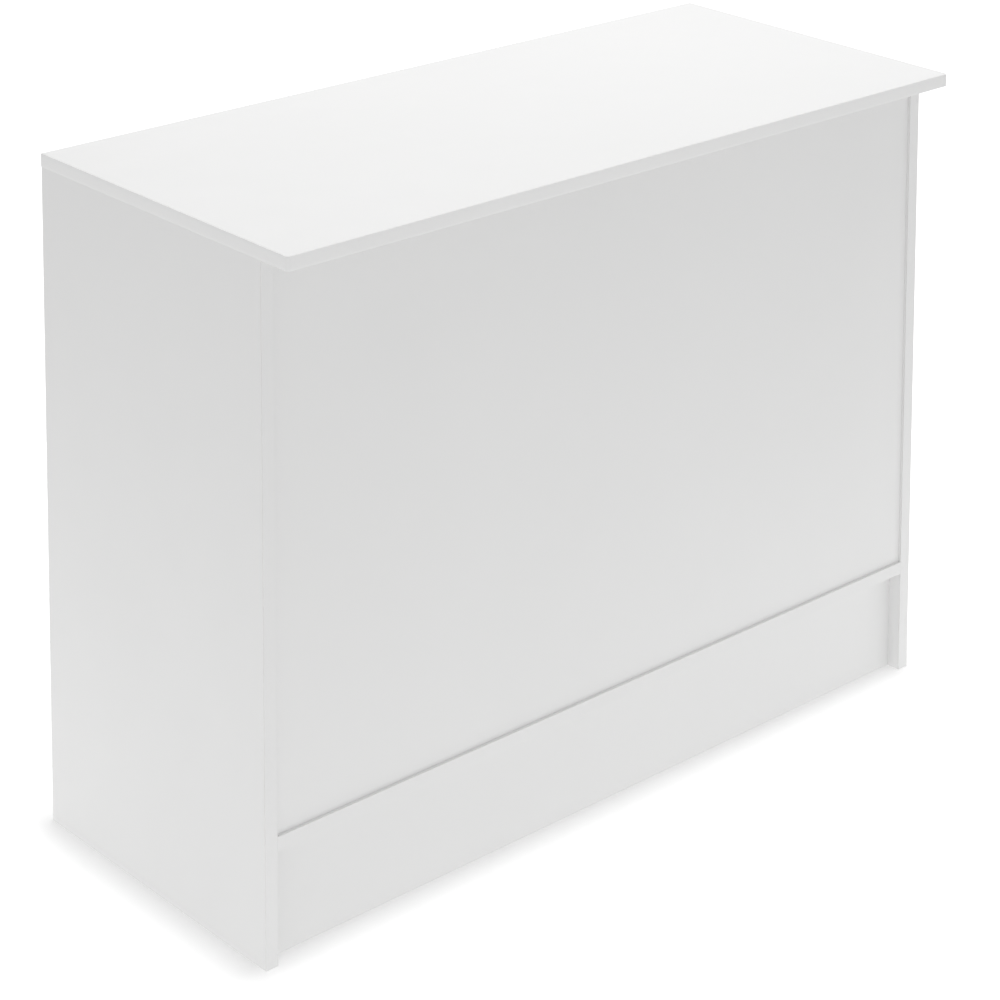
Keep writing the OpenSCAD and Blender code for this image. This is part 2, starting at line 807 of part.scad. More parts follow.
// Round bow pull with elbows, on two posts
module drawer_pull() {
    elbow_r = 12;
    span = pull_pitch / 2;
    post_l = pull_reach - pull_r - elbow_r;
    bar_l = pull_pitch - 2 * elbow_r;
    color(metal) translate([drawer_mid_x, drawer_face_y, pull_z]) difference() {
        union() {
            translate([-bar_l / 2, post_l + elbow_r, 0]) rotate([0, 90, 0]) cylinder(r = pull_r, h = bar_l);
            for (side = [-1, 1]) {
                translate([side * span, 0, 0]) rotate([-90, 0, 0]) cylinder(r = pull_r, h = post_l);
                translate([side * span, 0, 0]) rotate([-90, 0, 0]) cylinder(r = pull_r + 2, h = 2);
                translate([side * (span - elbow_r), post_l, 0]) mirror([side < 0 ? 1 : 0, 0, 0])
                    rotate_extrude(angle = 90) translate([elbow_r, 0]) circle(r = pull_r);
            }
        }
        for (side = [-1, 1])
            translate([side * span, -eps, 0]) rotate([-90, 0, 0])
                cylinder(r = pull_screw_r, h = pull_screw_depth + 2 + eps);
    }
}

// Pan-head machine screws through the drawer front into the pull's posts
module drawer_pull_screws() {
    color(metal) for (side = [-1, 1])
        translate([drawer_mid_x + side * pull_pitch / 2, drawer_in_y, pull_z])
            rotate([-90, 0, 0]) pull_screw();
}

// Pan-head screw along +Z, with its shank starting at z = 0
module pull_screw() {
    head_h = 2.4;
    head_r = 4;
    chamfer = 0.8;
    difference() {
        union() {
            translate([0, 0, -head_h]) cylinder(r1 = head_r - chamfer, r2 = head_r, h = chamfer);
            translate([0, 0, chamfer - head_h]) cylinder(r = head_r, h = head_h - chamfer);
            cylinder(r = pull_screw_r - fit_gap, h = board_t + pull_screw_depth);
        }
        translate([0, 0, -head_h]) cross_recess(2.2, 1.5);
    }
}

// ---------- Drawer runners ----------

// Puts children in a runner's own frame on each side of the drawer bay. There, local x runs from the
// cabinet side towards the drawer, y is the row's y and z starts at the bottom of the runner.
module runner_frame(side) {
    translate([side < 0 ? right_bay[0] : right_bay[1], 0, runner_z])
        mirror([side > 0 ? 1 : 0, 0, 0]) children();
}

module runner_cabinet_screw_places(side) {
    runner_frame(side) for (y = runner_screw_ys)
        translate([head_seat, y, cabinet_screw_up]) rotate([0, -90, 0]) children();
}

module runner_drawer_screw_places(side) {
    runner_frame(side) for (y = runner_screw_ys)
        translate([runner_space - head_seat, y + drawer_screw_shift, drawer_screw_up])
            rotate([0, 90, 0]) children();
}

// Channel fixed to the cabinet, with a stop for the rear roller and the front roller's pin
module cabinet_runner() {
    channel_h = 20.4;
    channel_w = 10.2;
    stop_size = [6, 5, 3.5];
    stop_y = rear_roller_y + drawer_travel + roller_contact;
    pin_z = front_roller_z - runner_z;
    translate([0, box_back_y, 0]) cube([runner_t, drawer_side_l, channel_h]);
    translate([0, box_back_y, 0]) cube([channel_w, drawer_side_l, runner_t]);
    translate([0, box_back_y, channel_h - runner_t]) cube([channel_w, drawer_side_l, runner_t]);
    translate([3, stop_y, runner_t / 2]) cube(stop_size);
    rod([0.5, front_roller_y, pin_z], [1, 0, 0], roller_u + roller_w + 0.3, roller_pin_r);
    rod([0.5, front_roller_y, pin_z], [1, 0, 0], roller_u - 0.7, 3.2);
}

// A recess for the screw head in the runner's web
module web_cup() {
    cylinder(r = 4.6, h = 1);
}

module cabinet_runners() {
    color(edge_white) for (side = [-1, 1]) difference() {
        union() {
            runner_frame(side) cabinet_runner();
            runner_cabinet_screw_places(side) web_cup();
        }
        runner_cabinet_screw_places(side) hardware_screw_bore();
    }
}

// Angle under the drawer side with a flange that rides on the front roller and the rear roller's pin
module drawer_runner() {
    web_gap = 0.1;
    web_x = runner_space - runner_t - web_gap;
    flange_x = 1.6;
    leg_l = 14;
    flange_z = front_roller_z - runner_z + roller_r + fit_gap;
    ear_l = 2 * roller_end;
    web_h = flange_z + runner_t - runner_leg_w;
    pin_z = rear_roller_z - runner_z;
    translate([web_x, box_back_y, runner_leg_w]) cube([runner_t, drawer_side_l, web_h]);
    translate([web_x, box_back_y, runner_leg_w]) cube([leg_l, drawer_side_l, runner_t]);
    translate([flange_x, box_back_y, flange_z]) cube([web_x + web_gap - flange_x, drawer_side_l, runner_t]);
    translate([web_x, box_back_y, 3]) cube([runner_t, ear_l, 6]);
    rod([roller_u - 0.2, rear_roller_y, pin_z], [1, 0, 0], web_x - roller_u + 0.7, roller_pin_r);
    rod([roller_u + roller_w + 0.2, rear_roller_y, pin_z], [1, 0, 0], web_x - roller_u - roller_w, 3.2);
}

module drawer_runners() {
    color(edge_white) for (side = [-1, 1]) difference() {
        union() {
            runner_frame(side) drawer_runner();
            runner_drawer_screw_places(side) web_cup();
        }
        runner_drawer_screw_places(side) hardware_screw_bore();
    }
}

module drawer_runner_screws() {
    color(metal) for (side = [-1, 1]) runner_drawer_screw_places(side) hardware_screw();
}

// A pair of rollers at one end of the runners, on one axis
module roller_pair(y, z) {
    color(plastic) for (side = [-1, 1]) runner_frame(side) translate([0, 0, z - runner_z]) difference() {
        rod([roller_u, y, 0], [1, 0, 0], roller_w, roller_r);
        rod([roller_u - eps, y, 0], [1, 0, 0], roller_w + 2 * eps, roller_pin_r + fit_gap);
        for (turn = [0:60:300]) translate([roller_u - eps, y, 0]) rotate([turn, 0, 0])
            rod([0, 0, 5], [1, 0, 0], 2.2, 1);
    }
}

module front_rollers() {
    roller_pair(front_roller_y, front_roller_z);
}

module rear_rollers() {
    roller_pair(rear_roller_y, rear_roller_z);
}

// ---------- Lock ----------

// Puts children at the lock's axis, with local +Z leaving the drawer front and z = 0 on its face
module lock_frame() {
    translate([lock_x, drawer_face_y, lock_z]) rotate([-90, 0, 0]) children();
}

module lock_barrel() {
    color(metal) lock_frame() difference() {
        union() {
            cylinder(r = 12, h = 1.6);
            translate([0, 0, 1.6]) cylinder(r1 = 12, r2 = 11.2, h = 0.8);
            translate([0, 0, -barrel_l]) cylinder(r = barrel_r, h = barrel_l + 0.5);
        }
        translate([0, 0, -barrel_l - eps]) cylinder(r = plug_r + fit_gap, h = barrel_l + 5);
    }
}

module lock_nut() {
    color(metal) lock_frame() translate([0, 0, -board_t - 2.8]) difference() {
        cylinder(r = 13, h = 2.8, $fn = 6);
        translate([0, 0, -eps]) cylinder(r = barrel_r + fit_gap, h = 5);
    }
}

module lock_plug() {
    color(metal) lock_frame() difference() {
        union() {
            translate([0, 0, -barrel_l]) cylinder(r = plug_r, h = barrel_l + 2);
            translate([-3.5, -3.5, -barrel_l - lock_cam_t]) cube([7, 7, lock_cam_t + 0.5]);
        }
        translate([-1.1, -3.1, -20]) cube([2.2, 6.2, 24]);
        translate([0, 0, -barrel_l - lock_cam_t - eps]) cylinder(r = 1.5, h = 3.5 + eps);
    }
}

// Flat cam with a square hole, pointing sideways while the drawer is unlocked
module lock_cam() {
    color(metal) lock_frame() translate([0, 0, -barrel_l - lock_cam_t]) difference() {
        union() {
            cylinder(r = 7.5, h = lock_cam_t);
            translate([-lock_cam_l + 4, -4.5, 0]) cube([lock_cam_l - 4, 9, lock_cam_t]);
            translate([-lock_cam_l + 4.5, 0, 0]) cylinder(r = 4.5, h = lock_cam_t);
        }
        translate([-3.55, -3.55, -eps]) cube([7.1, 7.1, lock_cam_t + 2 * eps]);
    }
}

module lock_cam_screw() {
    color(metal) lock_frame() translate([0, 0, -barrel_l - lock_cam_t]) difference() {
        union() {
            translate([0, 0, -0.1]) cylinder(r = 1.5 - fit_gap, h = 3);
            translate([0, 0, -2]) cylinder(r = 5, h = 1.9);
        }
        translate([0, 0, -2]) cross_recess(2, 1.2);
    }
}

// Flat key with a round bow, standing in the plug
module lock_key() {
    color(metal) lock_frame() difference() {
        union() {
            translate([-0.9, -2.9, -18]) cube([1.8, 5.8, 26]);
            translate([-0.9, -4.5, 3.4]) cube([1.8, 9, 6]);
            translate([-0.9, 0, 17]) rotate([0, 90, 0]) cylinder(r = 10.5, h = 1.8);
        }
        translate([-2, 0, 22]) rotate([0, 90, 0]) cylinder(r = 2.5, h = 4);
        for (notch = [0:3]) translate([-2, -3.6, -16 + notch * 4.5]) cube([4, 1 + 0.3 * (notch % 3), 2]);
    }
}

module keeper_screw_places() {
    for (side = [-1, 1])
        translate([lock_x + side * 14, keeper_y - keeper_d / 2, rail_z - keeper_t]) children();
}

// Angle under the rear rail: its flange hangs between the drawer front and the turned cam
module lock_keeper() {
    keeper_w = 44;
    color(metal) difference() {
        union() {
            block([lock_x - keeper_w / 2, keeper_y - keeper_d, rail_z - keeper_t],
                [lock_x + keeper_w / 2, keeper_y, rail_z]);
            block([lock_x - keeper_w / 2, keeper_y - keeper_t, rail_z - 16],
                [lock_x + keeper_w / 2, keeper_y, rail_z - 1]);
        }
        keeper_screw_places() hardware_screw_bore();
    }
}

countertop_board();
countertop_t_moulding();
countertop_rear_band();
left_end_panel();
right_end_panel();
end_panel_bands();
front_panel();
bottom_deck();
bottom_deck_bands();
front_kick_panel();
rear_kick_panel();
base_rib();
center_divider();
inner_bands();
front_top_rail();
rear_top_rail();
left_shelf();
left_shelf_bands();
right_shelf();
right_shelf_bands();
shelf_pins();
cam_locks();
cam_bolts();
cam_cover_caps();
wood_dowels();
top_screws();
divider_screws();
hardware_screws();
leveler_access_caps();
leveler_brackets();
leveler_stem_1();
leveler_stem_2();
leveler_stem_3();
leveler_stem_4();
leveler_pad_1();
leveler_pad_2();
leveler_pad_3();
leveler_pad_4();
drawer_front();
drawer_front_bands();
drawer_left_side();
drawer_right_side();
drawer_back();
drawer_bottom();
drawer_dowels();
drawer_screws();
drawer_pull();
drawer_pull_screws();
cabinet_runners();
drawer_runners();
drawer_runner_screws();
front_rollers();
rear_rollers();
lock_barrel();
lock_nut();
lock_plug();
lock_cam();
lock_cam_screw();
lock_key();
lock_keeper();
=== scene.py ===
"""Looks of the checkout counter: materials, fine shape, light and camera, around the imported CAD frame."""
import json
import math

import bmesh
import bpy
import numpy as np
from mathutils import Euler, Matrix, Vector

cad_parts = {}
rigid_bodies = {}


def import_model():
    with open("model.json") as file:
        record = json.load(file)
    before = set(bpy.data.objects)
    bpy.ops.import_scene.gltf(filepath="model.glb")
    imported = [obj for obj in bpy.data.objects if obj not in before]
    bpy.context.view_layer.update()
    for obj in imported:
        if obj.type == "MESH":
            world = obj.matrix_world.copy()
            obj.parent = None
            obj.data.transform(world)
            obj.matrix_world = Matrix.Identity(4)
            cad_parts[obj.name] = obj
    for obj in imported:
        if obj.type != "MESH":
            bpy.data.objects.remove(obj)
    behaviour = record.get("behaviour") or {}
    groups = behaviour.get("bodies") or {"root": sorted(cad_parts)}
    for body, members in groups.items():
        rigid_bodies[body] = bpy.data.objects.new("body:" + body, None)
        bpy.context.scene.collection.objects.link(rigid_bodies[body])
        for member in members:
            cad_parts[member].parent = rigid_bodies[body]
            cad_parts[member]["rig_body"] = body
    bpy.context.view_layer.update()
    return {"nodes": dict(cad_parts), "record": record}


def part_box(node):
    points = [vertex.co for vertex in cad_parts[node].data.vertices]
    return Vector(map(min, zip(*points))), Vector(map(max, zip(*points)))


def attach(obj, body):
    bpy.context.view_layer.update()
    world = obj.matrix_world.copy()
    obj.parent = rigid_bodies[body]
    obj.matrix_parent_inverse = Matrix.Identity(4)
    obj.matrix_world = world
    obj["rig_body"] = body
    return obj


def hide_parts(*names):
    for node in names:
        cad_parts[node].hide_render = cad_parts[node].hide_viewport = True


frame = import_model()
nodes = frame["nodes"]
slot_of = {part["node"]: part["material_slot"] for part in frame["record"]["subparts"]}

MM = 0.001
FULL_TURN = 2 * math.pi
AXES = "xyz"

# ---------------------------------------------------------------- camera
# The picture is taken with a shift lens from the customer's left: the lens looks almost level over the
# counter and is shifted down onto it.
CAMERA_AT = Vector((-2.700, -3.175, 2.211))
CAMERA_HEADING = math.radians(44.43)     # turned from +Y towards +X
CAMERA_PITCH = math.radians(-7.53)
CAMERA_ROLL = math.radians(0.75)
SENSOR_MM = 36
LENS_MM = 107.56
SHIFT = (-0.2297, -0.8672)


def shift_only_from(camera, axis_name, amount):
    """Gives the lens its shift at CAMERA_AT, and none when the camera is moved elsewhere to look round."""
    driver = camera.data.driver_add(axis_name).driver
    place = driver.variables.new()
    place.name = "x"
    place.targets[0].id = camera
    place.targets[0].data_path = "location[0]"
    driver.expression = f"{amount} if abs(x - ({CAMERA_AT.x})) < 0.001 else 0.0"


def make_camera():
    data = bpy.data.cameras.new("photo_camera")
    camera = bpy.data.objects.new("photo_camera", data)
    bpy.context.scene.collection.objects.link(camera)
    data.sensor_width = SENSOR_MM
    data.lens = LENS_MM
    data.clip_start = 0.05
    data.clip_end = 120
    camera.location = CAMERA_AT
    look = Euler((math.radians(90) + CAMERA_PITCH, 0, -CAMERA_HEADING), "XYZ").to_matrix()
    roll = Euler((0, 0, CAMERA_ROLL), "XYZ").to_matrix()
    camera.rotation_euler = (look @ roll).to_euler()
    shift_only_from(camera, "shift_x", SHIFT[0])
    shift_only_from(camera, "shift_y", SHIFT[1])
    bpy.context.scene.camera = camera


# ---------------------------------------------------------------- shader building blocks
class Shader:
    """A material's node tree, with short calls that add a node and feed its inputs. Sizes are in mm."""

    def __init__(self, name):
        self.material = bpy.data.materials.new(name)
        self.material.use_nodes = True
        self.tree = self.material.node_tree
        self.surface = self.tree.nodes["Principled BSDF"]
        self.coordinates = self.tree.nodes.new("ShaderNodeTexCoord")
        self.place = self.coordinates.outputs["Object"]

    def feed(self, socket, value):
        """Links an output to a socket, or sets the socket to a plain value."""
        if isinstance(value, bpy.types.NodeSocket):
            self.tree.links.new(value, socket)
        else:
            socket.default_value = value

    def add(self, kind, inputs, **settings):
        node = self.tree.nodes.new("ShaderNode" + kind)
        for name, value in settings.items():
            setattr(node, name, value)
        for key, value in inputs.items():
            self.feed(node.inputs[key], value)
        return node

    def math(self, operation, a, b=0.0, c=0.0):
        return self.add("Math", {0: a, 1: b, 2: c}, operation=operation).outputs[0]

    def between(self, value, low, high, out_low, out_high):
        """Maps value's span low to high onto out_low to out_high, and holds it there."""
        inputs = {0: value, 1: low, 2: high, 3: out_low, 4: out_high}
        return self.add("MapRange", inputs).outputs[0]

    def noise(self, size, detail=3.0, stretch=(1, 1, 1), roughness=0.5):
        """Soft noise with features of about size mm, drawn out along an axis by stretch."""
        place = self.add("Mapping", {"Vector": self.place, "Scale": [1 / s for s in stretch]}).outputs[0]
        inputs = {"Vector": place, "Scale": 1 / (size * MM), "Detail": detail, "Roughness": roughness}
        return self.add("TexNoise", inputs).outputs["Fac"]

    def cells(self, size, output="Distance", stretch=(1, 1, 1)):
        place = self.add("Mapping", {"Vector": self.place, "Scale": [1 / s for s in stretch]}).outputs[0]
        return self.add("TexVoronoi", {"Vector": place, "Scale": 1 / (size * MM)}).outputs[output]

    def mix(self, share, a, b):
        """Colour a, going to colour b as share goes from 0 to 1."""
        node = self.add("Mix", {"Factor": share}, data_type="RGBA")
        self.feed(node.inputs[6], a)
        self.feed(node.inputs[7], b)
        return node.outputs[2]

    def choose(self, share, a, b):
        """Number a, going to number b as share goes from 0 to 1."""
        return self.add("Mix", {"Factor": share, 2: a, 3: b}, data_type="FLOAT").outputs[0]

    def tint(self, colour, noise, amount):
        """Colour made up to amount darker where noise is low."""
        dark = [c * (1 - amount) for c in colour]
        return self.mix(self.between(noise, 0.3, 0.7, 0.0, 1.0), rgba(dark), rgba(colour))

    def relief(self, height, depth):
        """A bump that is depth mm deep."""
        inputs = {"Height": height, "Distance": depth * MM, "Strength": 1.0}
        return self.add("Bump", inputs).outputs[0]

    def finish(self, colour, roughness, normal, **others):
        self.feed(self.surface.inputs["Base Color"], colour)
        self.feed(self.surface.inputs["Roughness"], roughness)
        self.feed(self.surface.inputs["Normal"], normal)
        for name, value in others.items():
            self.feed(self.surface.inputs[name.replace("_", " ")], value)
        return self.material


def rgba(colour):
    return (*colour, 1.0)


# ---------------------------------------------------------------- materials
LAMINATE = (0.835, 0.835, 0.832)
BAND = (0.835, 0.835, 0.832)
MOULDING = (0.880, 0.880, 0.877)
WORN_SHARE = 0.07
CHIPBOARD_CORE = ((0.62, 0.47, 0.31), (0.36, 0.24, 0.14))
HARDBOARD_CORE = ((0.34, 0.22, 0.13), (0.22, 0.13, 0.07))


def edge_distance(shader, thickness_axis):
    """Distance in mm from the board's nearest edge, across its face. The board's size is on its object."""
    share = shader.add("SeparateXYZ", {0: shader.coordinates.outputs["Generated"]})
    size = shader.add("Attribute", {}, attribute_type="OBJECT", attribute_name="board_size")
    size = shader.add("SeparateXYZ", {0: size.outputs["Vector"]})
    distances = []
    for index in range(3):
        if index != thickness_axis:
            from_start = share.outputs[index]
            from_end = shader.math("SUBTRACT", 1.0, from_start)
            nearer = shader.math("MINIMUM", from_start, from_end)
            distances.append(shader.math("MULTIPLY", nearer, size.outputs[index]))
    return shader.math("MINIMUM", *distances)


def laminated_board(name, thickness_axis, wrapped_axes, core):
    """White melamine film on the board's faces, and the bare core in its cut edges and holes."""
    shader = Shader(name)
    facing = shader.add("SeparateXYZ", {0: shader.coordinates.outputs["Normal"]})
    film = 0.0
    for index in [thickness_axis, *wrapped_axes]:
        film = shader.math("MAXIMUM", shader.math("ABSOLUTE", facing.outputs[index]), film)
    film = shader.math("GREATER_THAN", film, 0.3)

    cloud = shader.noise(350, detail=2)
    speck = shader.noise(1.4, detail=2)
    white = shader.tint(LAMINATE, cloud, 0.012)
    grey = shader.mix(shader.between(speck, 0.62, 0.75, 0.0, 0.05), white, rgba((0.6, 0.6, 0.6)))
    rub = shader.between(edge_distance(shader, thickness_axis), 0.25, 1.2, 1.0, 0.0)
    rub = shader.math("MULTIPLY", rub, shader.between(shader.noise(9, detail=5), 0.45, 0.62, 0.0, WORN_SHARE))
    face = shader.mix(rub, grey, rgba((0.42, 0.38, 0.33)))
    smudge = shader.between(shader.noise(70, detail=6, roughness=0.6), 0.35, 0.65, 0.36, 0.46)

    chip = shader.cells(1.8, "Color", stretch=[1 if i == thickness_axis else 2.2 for i in range(3)])
    fibre = shader.noise(0.7, detail=4)
    raw = shader.mix(shader.add("SeparateColor", {0: chip}).outputs[0], rgba(core[0]), rgba(core[1]))
    raw = shader.mix(shader.between(fibre, 0.4, 0.7, 0.0, 0.4), raw, rgba(core[1]))

    pearl = shader.math("MULTIPLY", shader.noise(0.8, detail=1), 0.35)
    waves = shader.noise(11, detail=1)
    smooth = shader.relief(shader.math("ADD", pearl, waves), 0.03)
    rough = shader.relief(shader.math("ADD", shader.cells(1.8), fibre), 0.25)
    normal = shader.add("Mix", {"Factor": film}, data_type="VECTOR")
    shader.feed(normal.inputs[4], rough)
    shader.feed(normal.inputs[5], smooth)
    return shader.finish(shader.mix(film, raw, face), shader.choose(film, 0.92, smudge), normal.outputs[1])


def pvc_band(name, white):
    """Extruded PVC with a faint orange peel and a few scuffs."""
    shader = Shader(name)
    cloud = shader.noise(160, detail=2)
    scuff = shader.noise(14, detail=6, roughness=0.65)
    scuffed = shader.between(scuff, 0.66, 0.78, 0.0, 0.06)
    colour = shader.mix(scuffed, shader.tint(white, cloud, 0.015), rgba((0.5, 0.49, 0.47)))
    fine_peel = shader.math("MULTIPLY", shader.noise(0.5), 0.3)
    peel = shader.math("ADD", shader.noise(2.2, detail=1), fine_peel)
    return shader.finish(colour, shader.between(scuff, 0.35, 0.7, 0.34, 0.5), shader.relief(peel, 0.025))


def moulded_plastic():
    shader = Shader("white_moulded_plastic")
    spark = shader.noise(0.35, detail=2)
    colour = shader.tint((0.82, 0.82, 0.81), shader.noise(12), 0.03)
    return shader.finish(colour, shader.between(spark, 0.3, 0.7, 0.34, 0.48), shader.relief(spark, 0.02))


def nylon():
    shader = Shader("natural_nylon")
    cloud = shader.noise(3, detail=3)
    rings = shader.noise(0.4, detail=1, stretch=(0.3, 3, 3))
    colour = shader.tint((0.74, 0.72, 0.66), cloud, 0.06)
    return shader.finish(colour, shader.between(cloud, 0.3, 0.7, 0.3, 0.45), shader.relief(rings, 0.015),
                         Subsurface_Weight=0.15, Subsurface_Scale=0.002)


def powder_coat():
    shader = Shader("white_powder_coat")
    peel = shader.noise(1.6, detail=2)
    grime = shader.noise(25, detail=6, roughness=0.6)
    white = shader.tint((0.74, 0.74, 0.73), shader.noise(80), 0.02)
    colour = shader.mix(shader.between(grime, 0.6, 0.75, 0.0, 0.12), white, rgba((0.35, 0.34, 0.32)))
    return shader.finish(colour, shader.between(grime, 0.3, 0.7, 0.36, 0.5), shader.relief(peel, 0.05))


def zinc_casting():
    shader = Shader("zinc_die_cast")
    pits = shader.cells(0.9)
    cloud = shader.noise(4, detail=5)
    colour = shader.tint((0.52, 0.53, 0.54), cloud, 0.18)
    height = shader.math("ADD", shader.between(pits, 0.0, 0.25, 0.0, 1.0), shader.noise(0.6))
    return shader.finish(colour, shader.between(cloud, 0.3, 0.7, 0.38, 0.58), shader.relief(height, 0.02),
                         Metallic=1.0)


def zinc_plating():
    shader = Shader("bright_zinc_plate")
    cloud = shader.noise(6, detail=4)
    blue, straw = rgba((0.62, 0.66, 0.72)), rgba((0.72, 0.70, 0.62))
    colour = shader.mix(shader.between(cloud, 0.35, 0.65, 0.0, 1.0), blue, straw)
    grain = shader.noise(0.3, detail=2)
    return shader.finish(colour, shader.between(cloud, 0.3, 0.7, 0.22, 0.36), shader.relief(grain, 0.006),
                         Metallic=1.0)


def satin_nickel():
    """Nickel brushed along the counter."""
    shader = Shader("satin_nickel")
    brush = shader.noise(0.25, detail=2, stretch=(60, 1, 1))
    cloud = shader.noise(18, detail=3)
    colour = shader.tint((0.68, 0.66, 0.62), cloud, 0.06)
    rough = shader.between(brush, 0.3, 0.7, 0.24, 0.36)
    return shader.finish(colour, rough, shader.relief(brush, 0.004), Metallic=1.0, Anisotropic=0.5)


def moulded_rubber():
    shader = Shader("black_rubber")
    dust = shader.noise(5, detail=6, roughness=0.65)
    grain = shader.noise(0.5, detail=3)
    colour = shader.mix(shader.between(dust, 0.5, 0.75, 0.0, 0.3), rgba((0.018, 0.018, 0.02)),
                        rgba((0.12, 0.115, 0.11)))
    return shader.finish(colour, shader.between(dust, 0.4, 0.7, 0.6, 0.85), shader.relief(grain, 0.05))


def beech(axis):
    """Raw beech with its grain along one axis."""
    shader = Shader("raw_beech_" + AXES[axis])
    along = [14 if i == axis else 1 for i in range(3)]
    grain = shader.noise(0.9, detail=4, stretch=along)
    flecks = shader.cells(0.8, stretch=[4 if i == axis else 1 for i in range(3)])
    colour = shader.mix(shader.between(grain, 0.3, 0.7, 0.0, 1.0), rgba((0.50, 0.31, 0.17)),
                        rgba((0.70, 0.50, 0.31)))
    colour = shader.mix(shader.between(flecks, 0.0, 0.12, 0.35, 0.0), colour, rgba((0.33, 0.18, 0.09)))
    return shader.finish(colour, shader.between(grain, 0.3, 0.7, 0.6, 0.78), shader.relief(grain, 0.06))


# ---------------------------------------------------------------- fine shape of the CAD pieces
SHARP = math.radians(30)
EDGE_ROUND = {
    "white_melamine": 0.15, "white_hardboard": 0.12, "white_edge_band": 0.3, "white_plastic": 0.2,
    "white_powder_coat": 0.2, "zinc_die_cast": 0.2, "zinc_plated_steel": 0.25, "nickel": 0.15,
    "black_rubber": 0.35, "nylon": 0.25,
}


def shading_by_angle():
    """A node group that shades smooth except across edges sharper than SHARP."""
    group = bpy.data.node_groups.new("shading_by_angle", "GeometryNodeTree")
    for direction in ("INPUT", "OUTPUT"):
        group.interface.new_socket("Geometry", in_out=direction, socket_type="NodeSocketGeometry")
    start = group.nodes.new("NodeGroupInput")
    end = group.nodes.new("NodeGroupOutput")
    plain = group.nodes.new("GeometryNodeRemoveAttribute")
    plain.inputs["Name"].default_value = "custom_normal"
    faces = group.nodes.new("GeometryNodeSetShadeSmooth")
    faces.domain = "FACE"
    edges = group.nodes.new("GeometryNodeSetShadeSmooth")
    edges.domain = "EDGE"
    angle = group.nodes.new("GeometryNodeInputMeshEdgeAngle")
    blunt = group.nodes.new("FunctionNodeCompare")
    blunt.operation = "LESS_THAN"
    blunt.inputs[1].default_value = SHARP
    group.links.new(start.outputs[0], plain.inputs["Geometry"])
    group.links.new(plain.outputs[0], faces.inputs["Geometry"])
    group.links.new(faces.outputs[0], edges.inputs["Geometry"])
    group.links.new(angle.outputs[0], blunt.inputs[0])
    group.links.new(blunt.outputs[0], edges.inputs["Shade Smooth"])
    group.links.new(edges.outputs[0], end.inputs[0])
    return group


def ease_edges(piece, radius, shading):
    """Joins the CAD mesh's split faces, clears its flat ones of needless edges and rounds its sharp edges."""
    weld = piece.modifiers.new("weld", "WELD")
    weld.merge_threshold = 0.002 * MM
    flat = piece.modifiers.new("flat", "DECIMATE")
    flat.decimate_type = "DISSOLVE"
    flat.angle_limit = math.radians(0.5)
    smooth = piece.modifiers.new("smooth", "NODES")
    smooth.node_group = shading
    ease = piece.modifiers.new("ease", "BEVEL")
    ease.width = radius * MM
    ease.segments = 2
    ease.limit_method = "ANGLE"
    ease.angle_limit = SHARP
    ease.harden_normals = True
    ease.use_clamp_overlap = False


# ---------------------------------------------------------------- turned and threaded pieces
def turned_mesh(name, rows, radius_at, segments):
    """A closed mesh round +Z, in mm: one ring for each z in rows, with radius_at(z, angle) as its radius."""
    mesh = bpy.data.meshes.new(name)
    angles = [FULL_TURN * i / segments for i in range(segments)]
    points = [(radius_at(z, a) * math.cos(a), radius_at(z, a) * math.sin(a), z) for z in rows for a in angles]
    faces = [tuple(reversed(range(segments)))]
    for row in range(len(rows) - 1):
        low = row * segments
        for i in range(segments):
            j = (i + 1) % segments
            faces.append((low + i, low + j, low + segments + j, low + segments + i))
    last = (len(rows) - 1) * segments
    faces.append(tuple(last + i for i in range(segments)))
    mesh.from_pydata(points, [], faces)
    return mesh


def thread_height(z, angle, pitch, crest):
    """Height of a right-hand thread's flank: 1 on the crest, 0 at the root. crest is the crest's share."""
    phase = (z / pitch - angle / FULL_TURN) % 1
    return max(0.0, min(1.0, (0.5 - abs(phase - 0.5)) / (0.5 - crest / 2)))


def outline_radius(outline, z):
    """Radius at z on an outline of (z, radius) points."""
    return float(np.interp(z, [p[0] for p in outline], [p[1] for p in outline]))


def cut(mesh, tool, operation="DIFFERENCE"):
    """The mesh with a tool mesh cut out of it or joined to it."""
    body = bpy.data.objects.new("cut_body", mesh)
    cutter = bpy.data.objects.new("cut_tool", tool)
    for helper in (body, cutter):
        bpy.context.scene.collection.objects.link(helper)
    boolean = body.modifiers.new("cut", "BOOLEAN")
    boolean.operation = operation
    boolean.object = cutter
    graph = bpy.context.evaluated_depsgraph_get()
    result = bpy.data.meshes.new_from_object(body.evaluated_get(graph))
    for helper in (body, cutter):
        bpy.data.objects.remove(helper)
    return result


def prism_mesh(name, corners, low, high, shrink=1.0):
    """A prism over a flat outline, in mm, whose top is the outline times shrink."""
    mesh = bpy.data.meshes.new(name)
    count = len(corners)
    points = [(x, y, low) for x, y in corners] + [(x * shrink, y * shrink, high) for x, y in corners]
    sides = [(i, (i + 1) % count, count + (i + 1) % count, count + i) for i in range(count)]
    mesh.from_pydata(points, [], [tuple(reversed(range(count))), tuple(range(count, 2 * count)), *sides])
    return mesh


def hexagon(radius):
    return [(radius * math.cos(a), radius * math.sin(a)) for a in [FULL_TURN * i / 6 for i in range(6)]]


def cross_outline(reach, arm):
    """A cross with arms of half-width arm that reach out to reach, as a Phillips recess."""
    corner = [(reach, -arm), (reach, arm), (arm * 1.5, arm * 1.5)]
    turns = [Matrix.Rotation(FULL_TURN * i / 4, 2) for i in range(4)]
    return [tuple(turn @ Vector(point)) for turn in turns for point in corner]


